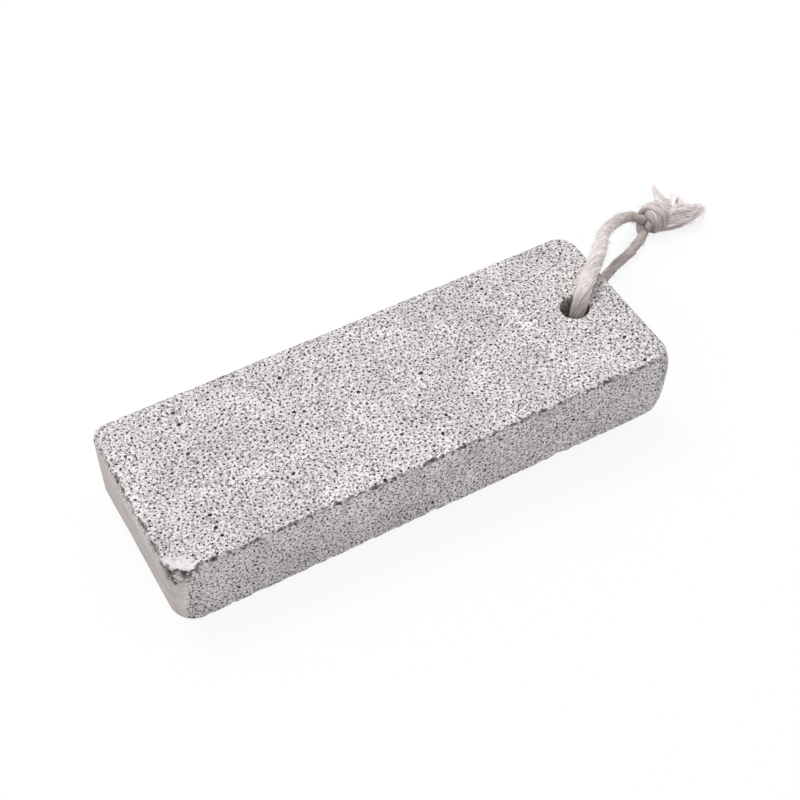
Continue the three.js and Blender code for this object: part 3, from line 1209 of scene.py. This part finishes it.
# %% Closed skin of the plain end
def closed_skin(points):
    """One on the plain end's skin, falling to nothing round its two corners and at its top edge."""
    height = np.clip(points[:, 2], 0, BAR_THICKNESS)
    start = np.where(points[:, 1] < 0, closed_corner(height), -BAR_LENGTH / 2 + 1.6 * MM)
    share = np.clip((start - points[:, 0]) / (1.3 * MM), 0, 1)
    below_edge = np.clip((BAR_THICKNESS - points[:, 2] - skin_edge(points)) / (0.5 * MM), 0, 1)
    return share * below_edge


closed = closed_skin(bar_points)
on_the_top = np.clip((bar_points[:, 2] - BAR_THICKNESS) / (0.4 * MM) + 2, 0, 1)
dense = np.maximum(closed, on_the_top * near_break(bar_points[:, 0], bar_points[:, 1]))
for attribute, values in (("closed", closed), ("dense", dense)):
    bar.data.attributes.new(attribute, "FLOAT", "POINT").data.foreach_set("value", values.astype(np.float32))
print("points on the closed skin", int((closed > 0.5).sum()))

# %% [markdown]
# The bar gets its own flat map, so that its finish can be baked to a picture without gaps. Each
# side is laid out straight on, pits and all, because no pit has an overhang. The slots that the
# cuts left behind say which side a face belongs to. The plain skin and the chips go by the
# direction they face.

# %% Flatten the bar
SHEET = 148 * MM
MARGIN = 1.2 * MM
CHART_ROWS = {"top": (0, 0), "under": (0, 45.2 * MM), "front": (0, 90.4 * MM), "back": (0, 109.4 * MM),
              "drilled end": (0, 128.4 * MM), "plain end": (46 * MM, 128.4 * MM), "hole": (92 * MM, 128.4 * MM)}
CHARTS = tuple(CHART_ROWS)


def strip_place(points):
    """Length round the outline of the outline point nearest to each point."""
    tree = kdtree.KDTree(len(outline_points))
    for number, (x, y) in enumerate(outline_points):
        tree.insert((x, y, 0), number)
    tree.balance()
    near = np.array([tree.find((x, y, 0))[1] for x, y in points[:, :2]])
    tangent = np.column_stack([-outline_normals[near, 1], outline_normals[near, 0]])
    return outline_at[near] + ((points[:, :2] - outline_points[near]) * tangent).sum(1)


def chart_of_faces(mesh, cuts, middles):
    """The chart of every face, by the slot of its cut or by where it faces."""
    normals = np.empty(len(mesh.polygons) * 3, np.float32)
    mesh.polygons.foreach_get("normal", normals)
    normals = normals.reshape(-1, 3)
    from_hole = np.hypot(middles[:, 0] - HOLE_PLACE[0], middles[:, 1] - HOLE_PLACE[1])
    plain = np.isin(cuts, [CUTS.index(name) for name in ("skin", "chips", "break")])
    charts = np.full(len(mesh.polygons), -1)
    charts[(plain & (normals[:, 2] > 0.5)) | (cuts == CUTS.index("top pores"))] = CHARTS.index("top")
    charts[(plain & (normals[:, 2] < -0.5)) | (cuts == CUTS.index("under pores"))] = CHARTS.index("under")
    charts[(cuts == CUTS.index("hole")) & (from_hole < BAR_WIDTH / 4)] = CHARTS.index("hole")
    reach_x, reach_y = BAR_LENGTH / 2 - np.abs(middles[:, 0]), BAR_WIDTH / 2 - np.abs(middles[:, 1])
    by_side = np.where(
        reach_y < reach_x,
        np.where(middles[:, 1] < 0, CHARTS.index("front"), CHARTS.index("back")),
        np.where(middles[:, 0] < 0, CHARTS.index("plain end"), CHARTS.index("drilled end")))
    return np.where(charts < 0, by_side, charts)


def flat_places(points, charts):
    """Where each face corner lies on its chart, from the chart's middle."""
    along = strip_place(points)
    centres = {}
    places = np.empty((len(points), 2))
    for name, direction in (("front", (0, -1)), ("back", (0, 1)), ("drilled end", (1, 0)), ("plain end", (-1, 0))):
        middle = np.array((direction[0] * BAR_LENGTH / 2, direction[1] * BAR_WIDTH / 2, 0))[None]
        centres[name] = strip_place(middle)[0]
    for number, name in enumerate(CHARTS):
        here = charts == number
        if name in centres:
            turn = along[here] - centres[name]
            turn = (turn + outline_length / 2) % outline_length - outline_length / 2
            places[here] = np.column_stack([turn, points[here, 2] - BAR_THICKNESS / 2])
        elif name == "hole":
            angle = np.arctan2(points[here, 1] - HOLE_PLACE[1], points[here, 0] - HOLE_PLACE[0])
            places[here] = np.column_stack([-angle * HOLE_RADIUS, points[here, 2] - BAR_THICKNESS / 2])
        else:
            flip = 1 if name == "top" else -1
            places[here] = points[here, :2] * (1, flip)
    return places


def add_map(mesh, points, corners, corner_faces, cuts):
    count = np.bincount(corner_faces)
    middles = np.column_stack([np.bincount(corner_faces, points[corners, k]) / count for k in range(3)])
    face_charts = chart_of_faces(mesh, cuts, middles)
    charts = face_charts[corner_faces]
    places = flat_places(points[corners], charts)
    hole = charts == CHARTS.index("hole")
    whole_turn = 2 * math.pi * HOLE_RADIUS
    start = np.full(len(count), 9.0)
    np.minimum.at(start, corner_faces[hole], places[hole, 0])
    wrapped = hole & (places[:, 0] - start[corner_faces] > whole_turn / 2)
    places[wrapped, 0] -= whole_turn
    sizes = {"hole": (24 * MM, 18 * MM), "top": (121 * MM, 44.4 * MM), "under": (121 * MM, 44.4 * MM),
             "front": (121 * MM, 18.2 * MM), "back": (121 * MM, 18.2 * MM),
             "drilled end": (45 * MM, 18.2 * MM), "plain end": (45 * MM, 18.2 * MM)}
    shift = np.array([np.array(CHART_ROWS[name]) + np.array(sizes[name]) / 2 + MARGIN / 2 for name in CHARTS])
    flat = (places + shift[charts]) / SHEET
    mesh.uv_layers.new(name="OFBake").data.foreach_set("uv", flat.astype(np.float32).ravel())
    return flat


flat = add_map(bar.data, bar_points, corners, corner_faces, cuts)
print("the map spans", flat.min(0).round(3), "to", flat.max(0).round(3))

# %% [markdown]
# A sawn face is never quite flat. All points move inwards by a slow random field, less than a
# third of a millimetre, so the long edges run slightly wavy. Then the bar is laid down: it rests
# on its plain end and on the cord under its drilled end, which leans it by under two degrees.

# %% Uneven, and laid down
UNEVEN = 0.16 * MM
UNEVEN_SCALE = 14 * MM
CORNER_SWELL = 1.5 * MM
SWELL_BELOW = ((0.0, 0.15, 0.3, 0.6, 0.85, 1.0), (0.0, 0.75, 1.0, 0.75, 0.2, -0.6))
LIFT_AT_HOLE = 3.4 * MM
LEAN = math.asin(LIFT_AT_HOLE / (BAR_LENGTH - 1 * MM - 11.2 * MM))
UNEVEN_SEED = 8
noise.seed_set(UNEVEN_SEED)


def uneven(points):
    half = np.array((BAR_LENGTH / 2, BAR_WIDTH / 2, BAR_THICKNESS / 2))
    from_middle = (points - (0, 0, BAR_THICKNESS / 2)) / half
    field = np.array([noise.noise_vector(Vector(point) / UNEVEN_SCALE)[:] for point in points])
    fine = np.array([noise.noise_vector(Vector(point) / UNEVEN_SCALE * 3.1)[:] for point in points])
    inward = np.clip(0.5 + 0.9 * field + 0.35 * fine, 0, 1.4) / 1.4
    return points - UNEVEN * inward * from_middle * (0.8, 1.0, 0.7)


def fuller_corner(points):
    """The near corner of the drilled end swells a little below its worn top edge."""
    corner = np.array((BAR_LENGTH / 2, -BAR_WIDTH / 2))
    away = np.linalg.norm(points[:, :2] - corner, axis=1)
    near = np.clip(1 - away / (14 * MM), 0, 1) ** 1.5
    below = np.interp(1 - points[:, 2] / BAR_THICKNESS, *SWELL_BELOW)
    outward = np.array((0.87, -0.48, 0))
    return points + (CORNER_SWELL * near * below)[:, None] * outward


def laid_down(points):
    x, y, z = points.T
    return np.column_stack([
        math.cos(LEAN) * x - math.sin(LEAN) * z + math.sin(LEAN) * BAR_THICKNESS / 2,
        y,
        math.sin(LEAN) * x + math.cos(LEAN) * z + math.sin(LEAN) * (BAR_LENGTH / 2 - 1 * MM),
    ])


bar.data.vertices.foreach_set("co", laid_down(fuller_corner(uneven(bar_points))).astype(np.float32).ravel())
bar.data.materials.clear()
bar.data.polygons.foreach_set("material_index", np.zeros(len(bar.data.polygons), np.int32))
bpy.ops.object.select_all(action="DESELECT")
bar.select_set(True)
bpy.context.view_layer.objects.active = bar
bpy.ops.object.shade_smooth_by_angle(angle=math.radians(42))
bar.data.update()
print("bar spans", [round(value / MM, 2) for value in (*points_of(bar.data).min(0), *points_of(bar.data).max(0))])

# %% [markdown]
# Finishes are built from nodes. A small helper adds a node and sets its sockets, and links are
# made by giving an output as a value, which keeps each recipe readable from top to bottom.

# %% Node helpers
def add_node(tree, kind, settings=None, **sockets):
    """A node with its settings, and its sockets filled with values or linked to outputs."""
    node = tree.nodes.new(kind)
    for name, value in (settings or {}).items():
        setattr(node, name, value)
    for name, value in sockets.items():
        socket = node.inputs[int(name[1:])] if name[1:].isdigit() else node.inputs[name.replace("_", " ")]
        if isinstance(value, bpy.types.NodeSocket):
            tree.links.new(value, socket)
        else:
            socket.default_value = value
    return node


def ramp(tree, value, stops):
    """A colour ramp output. stops are (place, colour or grey)."""
    node = add_node(tree, "ShaderNodeValToRGB", Fac=value)
    elements = node.color_ramp.elements
    while len(elements) < len(stops):
        elements.new(0.5)
    for element, (place, colour) in zip(elements, stops):
        element.position = place
        element.color = (*colour, 1) if isinstance(colour, tuple) else (colour, colour, colour, 1)
    return node.outputs["Color"]


def math_node(tree, operation, *values, clamp=False):
    sockets = {f"i{number}": value for number, value in enumerate(values)}
    node = add_node(tree, "ShaderNodeMath", {"operation": operation, "use_clamp": clamp}, **sockets)
    return node.outputs[0]


def mixed_colour(tree, share, one, other, blend="MIX"):
    node = tree.nodes.new("ShaderNodeMix")
    node.data_type = "RGBA"
    node.blend_type = blend
    node.clamp_factor = True
    for number, value in ((0, share), (6, one), (7, other)):
        if isinstance(value, bpy.types.NodeSocket):
            tree.links.new(value, node.inputs[number])
        else:
            node.inputs[number].default_value = (*value, 1) if isinstance(value, tuple) else value
    return node.outputs[2]


def new_finish(name, roughness):
    """A material with its shader, ready for its nodes."""
    material = plain_material(name, (0.8, 0.8, 0.8), roughness)
    return material, material.node_tree, material.node_tree.nodes["Principled BSDF"]


print("helpers ready")

# %% [markdown]
# The stone's own colour is a pale grey with a breath of pink. It is not even: broad patches are
# a little lighter or darker, and the fine glass froth between the pits glitters from grain to
# grain. The smallest bubbles are too small to cut, so they are a dot pattern of painted shade that
# also dents the surface. The pits get painted shade that darkens with their depth, some more than
# others. The closed skin on the plain end is smoother and a little warmer.

# %% The stone's finish
PALE = (0.88, 0.842, 0.836)
GREY = (0.69, 0.656, 0.652)
PAINTED_PIT_SHADE = (0.09, 0.08, 0.08)
SKIN_WARM = (0.49, 0.45, 0.43)


def stone_finish():
    material, tree, shader = new_finish("pumice froth", 0.92)
    place = add_node(tree, "ShaderNodeTexCoord").outputs["Object"]
    broad = add_node(tree, "ShaderNodeTexNoise", Vector=place, Scale=90.0, Detail=4.0, Roughness=0.65)
    grain = add_node(tree, "ShaderNodeTexNoise", Vector=place, Scale=2000.0, Detail=2.0, Roughness=0.7)
    patches = add_node(tree, "ShaderNodeTexNoise", Vector=place, Scale=800.0, Detail=1.0)
    colour = mixed_colour(tree, ramp(tree, broad.outputs["Fac"], ((0.35, 0.0), (0.65, 1.0))), GREY, PALE)
    speckle = ramp(tree, grain.outputs["Fac"], ((0.34, 0.25), (0.47, 0.66), (0.6, 1.0)))
    closed = add_node(tree, "ShaderNodeAttribute", {"attribute_name": "closed"}).outputs["Fac"]
    dense = add_node(tree, "ShaderNodeAttribute", {"attribute_name": "dense"}).outputs["Fac"]
    open_share = math_node(tree, "SUBTRACT", 1.0, dense, clamp=True)
    speckle_share = math_node(tree, "MULTIPLY_ADD", open_share, 0.75, 0.25)
    colour = mixed_colour(tree, speckle_share, colour, mixed_colour(tree, 1.0, colour, speckle, "MULTIPLY"))
    # Painted shade: the smallest bubbles are dark dots, in some patches only.
    dots = add_node(tree, "ShaderNodeTexVoronoi", Vector=place, Scale=1500.0, Randomness=1.0)
    small = ramp(tree, dots.outputs["Distance"], ((0.2, 0.25), (0.42, 1.0)))
    some = ramp(tree, patches.outputs["Fac"], ((0.4, 0.15), (0.55, 1.0)))
    dot_share = math_node(tree, "MULTIPLY", some, open_share)
    colour = mixed_colour(tree, dot_share, colour, mixed_colour(tree, 1.0, colour, small, "MULTIPLY"))
    layered = add_node(tree, "ShaderNodeMapping", Vector=place, Scale=(0.14, 0.14, 1.0)).outputs["Vector"]
    rubbed = add_node(tree, "ShaderNodeTexNoise", Vector=layered, Scale=900.0, Detail=3.0).outputs["Fac"]
    rubbed_tone = ramp(tree, rubbed, ((0.3, 0.8), (0.7, 1.15)))
    skin = mixed_colour(tree, 1.0, SKIN_WARM, rubbed_tone, "MULTIPLY")
    colour = mixed_colour(tree, math_node(tree, "MULTIPLY", closed, 0.9), colour, skin)
    # Painted shade: pits darken towards a near black with their depth, more in some patches than in others.
    depth = add_node(tree, "ShaderNodeAttribute", {"attribute_name": "depth"}).outputs["Fac"]
    dark = ramp(tree, depth, ((0.0, 0.0), (0.05, 0.5), (0.14, 0.9), (0.4, 1.0)))
    uneven_dark = ramp(tree, patches.outputs["Fac"], ((0.36, 0.55), (0.56, 1.0)))
    colour = mixed_colour(tree, math_node(tree, "MULTIPLY", dark, uneven_dark), colour, PAINTED_PIT_SHADE)
    tree.links.new(colour, shader.inputs["Base Color"])
    froth = math_node(tree, "ADD", math_node(tree, "MULTIPLY", grain.outputs["Fac"], speckle_share),
                      math_node(tree, "MULTIPLY", small, math_node(tree, "MULTIPLY", dot_share, 0.7)))
    relief = math_node(tree, "ADD", froth, math_node(tree, "MULTIPLY", rubbed, closed))
    bump = add_node(tree, "ShaderNodeBump", Height=relief, Strength=0.8, Distance=0.00016)
    tree.links.new(bump.outputs["Normal"], shader.inputs["Normal"])
    shader.inputs["Specular IOR Level"].default_value = 0.2
    return material


bar.data.materials.append(stone_finish())
print("stone finish on", bar.name)

# %% [markdown]
# The cord and its frayed ends are the same cotton, so they share one node group. Along the yarns
# the cotton is streaky, and across them it changes quickly. The group reads the straight place of
# each point, so the streaks follow the twist wherever the cord bends, and it gives back a tint
# and a height.

# %% Cotton grain, shared by cord and frayed ends
def cotton_grain():
    group = bpy.data.node_groups.new("cotton grain", "ShaderNodeTree")
    interface = group.interface
    interface.new_socket("Light Cotton", in_out="INPUT", socket_type="NodeSocketColor")
    interface.new_socket("Dark Cotton", in_out="INPUT", socket_type="NodeSocketColor")
    interface.new_socket("Streak Scale", in_out="INPUT", socket_type="NodeSocketFloat")
    interface.new_socket("Tint", in_out="OUTPUT", socket_type="NodeSocketColor")
    interface.new_socket("Height", in_out="OUTPUT", socket_type="NodeSocketFloat")
    given = group.nodes.new("NodeGroupInput").outputs
    straight = add_node(group, "ShaderNodeAttribute", {"attribute_name": "straight"}).outputs["Vector"]
    along = add_node(group, "ShaderNodeMapping", Vector=straight, Scale=(1.0, 1.0, 0.12)).outputs["Vector"]
    streak = add_node(group, "ShaderNodeTexNoise", Vector=along, Scale=given["Streak Scale"], Detail=3.0,
                      Roughness=0.65).outputs["Fac"]
    place = add_node(group, "ShaderNodeTexCoord").outputs["Object"]
    cloud = add_node(group, "ShaderNodeTexNoise", Vector=place, Scale=260.0, Detail=2.0).outputs["Fac"]
    share = math_node(group, "ADD", math_node(group, "MULTIPLY", streak, 0.75),
                      math_node(group, "MULTIPLY", cloud, 0.25))
    share = ramp(group, share, ((0.36, 0.0), (0.62, 1.0)))
    tint = mixed_colour(group, share, given["Dark Cotton"], given["Light Cotton"])
    out = group.nodes.new("NodeGroupOutput")
    group.links.new(tint, out.inputs["Tint"])
    group.links.new(streak, out.inputs["Height"])
    return group


DARKENING_GREY = (0.52, 0.49, 0.48)
grain_group = cotton_grain()


def cotton_finish(name, light, dark, groove, streak_scale, groove_shade_strength):
    material, tree, shader = new_finish(name, 0.95)
    grain = tree.nodes.new("ShaderNodeGroup")
    grain.node_tree = grain_group
    grain.inputs["Light Cotton"].default_value = (*light, 1)
    grain.inputs["Dark Cotton"].default_value = (*dark, 1)
    grain.inputs["Streak Scale"].default_value = streak_scale
    # Painted shade: depth darkens the cotton towards the groove colour, in grooves, creases and inside the frayed
    # ends.
    depth = add_node(tree, "ShaderNodeAttribute", {"attribute_name": "depth"}).outputs["Fac"]
    deep = ramp(tree, depth, ((0.1, 0.0), (1.0, groove_shade_strength)))
    colour = mixed_colour(tree, deep, grain.outputs["Tint"], groove)
    # Painted shade: each point's darkening multiplies the tint by a grey on the knot, near it and on the frayed
    # ends. The strand under the bar is darkened the same way.
    darkening = add_node(tree, "ShaderNodeAttribute", {"attribute_name": "darkening"}).outputs["Fac"]
    colour = mixed_colour(tree, darkening, colour, mixed_colour(tree, 1.0, colour, DARKENING_GREY, "MULTIPLY"))
    tree.links.new(colour, shader.inputs["Base Color"])
    bump = add_node(tree, "ShaderNodeBump", Height=grain.outputs["Height"], Strength=0.5, Distance=0.0001)
    tree.links.new(bump.outputs["Normal"], shader.inputs["Normal"])
    shader.inputs["Sheen Weight"].default_value = 0.25
    shader.inputs["Sheen Roughness"].default_value = 0.6
    shader.inputs["Specular IOR Level"].default_value = 0.1
    return material


# The third colour of each cotton is its painted shade, for grooves, creases and the inside of a frayed end.
cord_finish = cotton_finish(
    "twisted cotton", (0.84, 0.77, 0.745), (0.39, 0.34, 0.325), (0.24, 0.20, 0.19), 2600.0, 0.6)
fray_finish = cotton_finish(
    "loose cotton", (0.99, 0.94, 0.93), (0.94, 0.87, 0.855), (0.75, 0.66, 0.61), 3000.0, 0.8)
for piece in (loop_piece, knot_piece):
    piece.data.materials.append(cord_finish)
for piece in (long_piece, short_piece):
    piece.data.materials.append(fray_finish)
print("cotton on", loop_piece.name, knot_piece.name, long_piece.name, short_piece.name)

# %% [markdown]
# Last, each piece is tied to the model: it rides on the only body, and it stands for its plain CAD
# solid, which is hidden. The loop, the knot and both ends are one cord.

# %% Tie the pieces to the model
STANDS_FOR = (
    (bar, "pumice_stone", "pumice"),
    (loop_piece, "cord_loop", "cotton_cord"),
    (knot_piece, "cord_knot", "cotton_cord"),
    (long_piece, "cord_tail_long", "cotton_fray"),
    (short_piece, "cord_tail_short", "cotton_fray"),
)
for piece, node, slot in STANDS_FOR:
    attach(piece, "root")
    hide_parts(node)
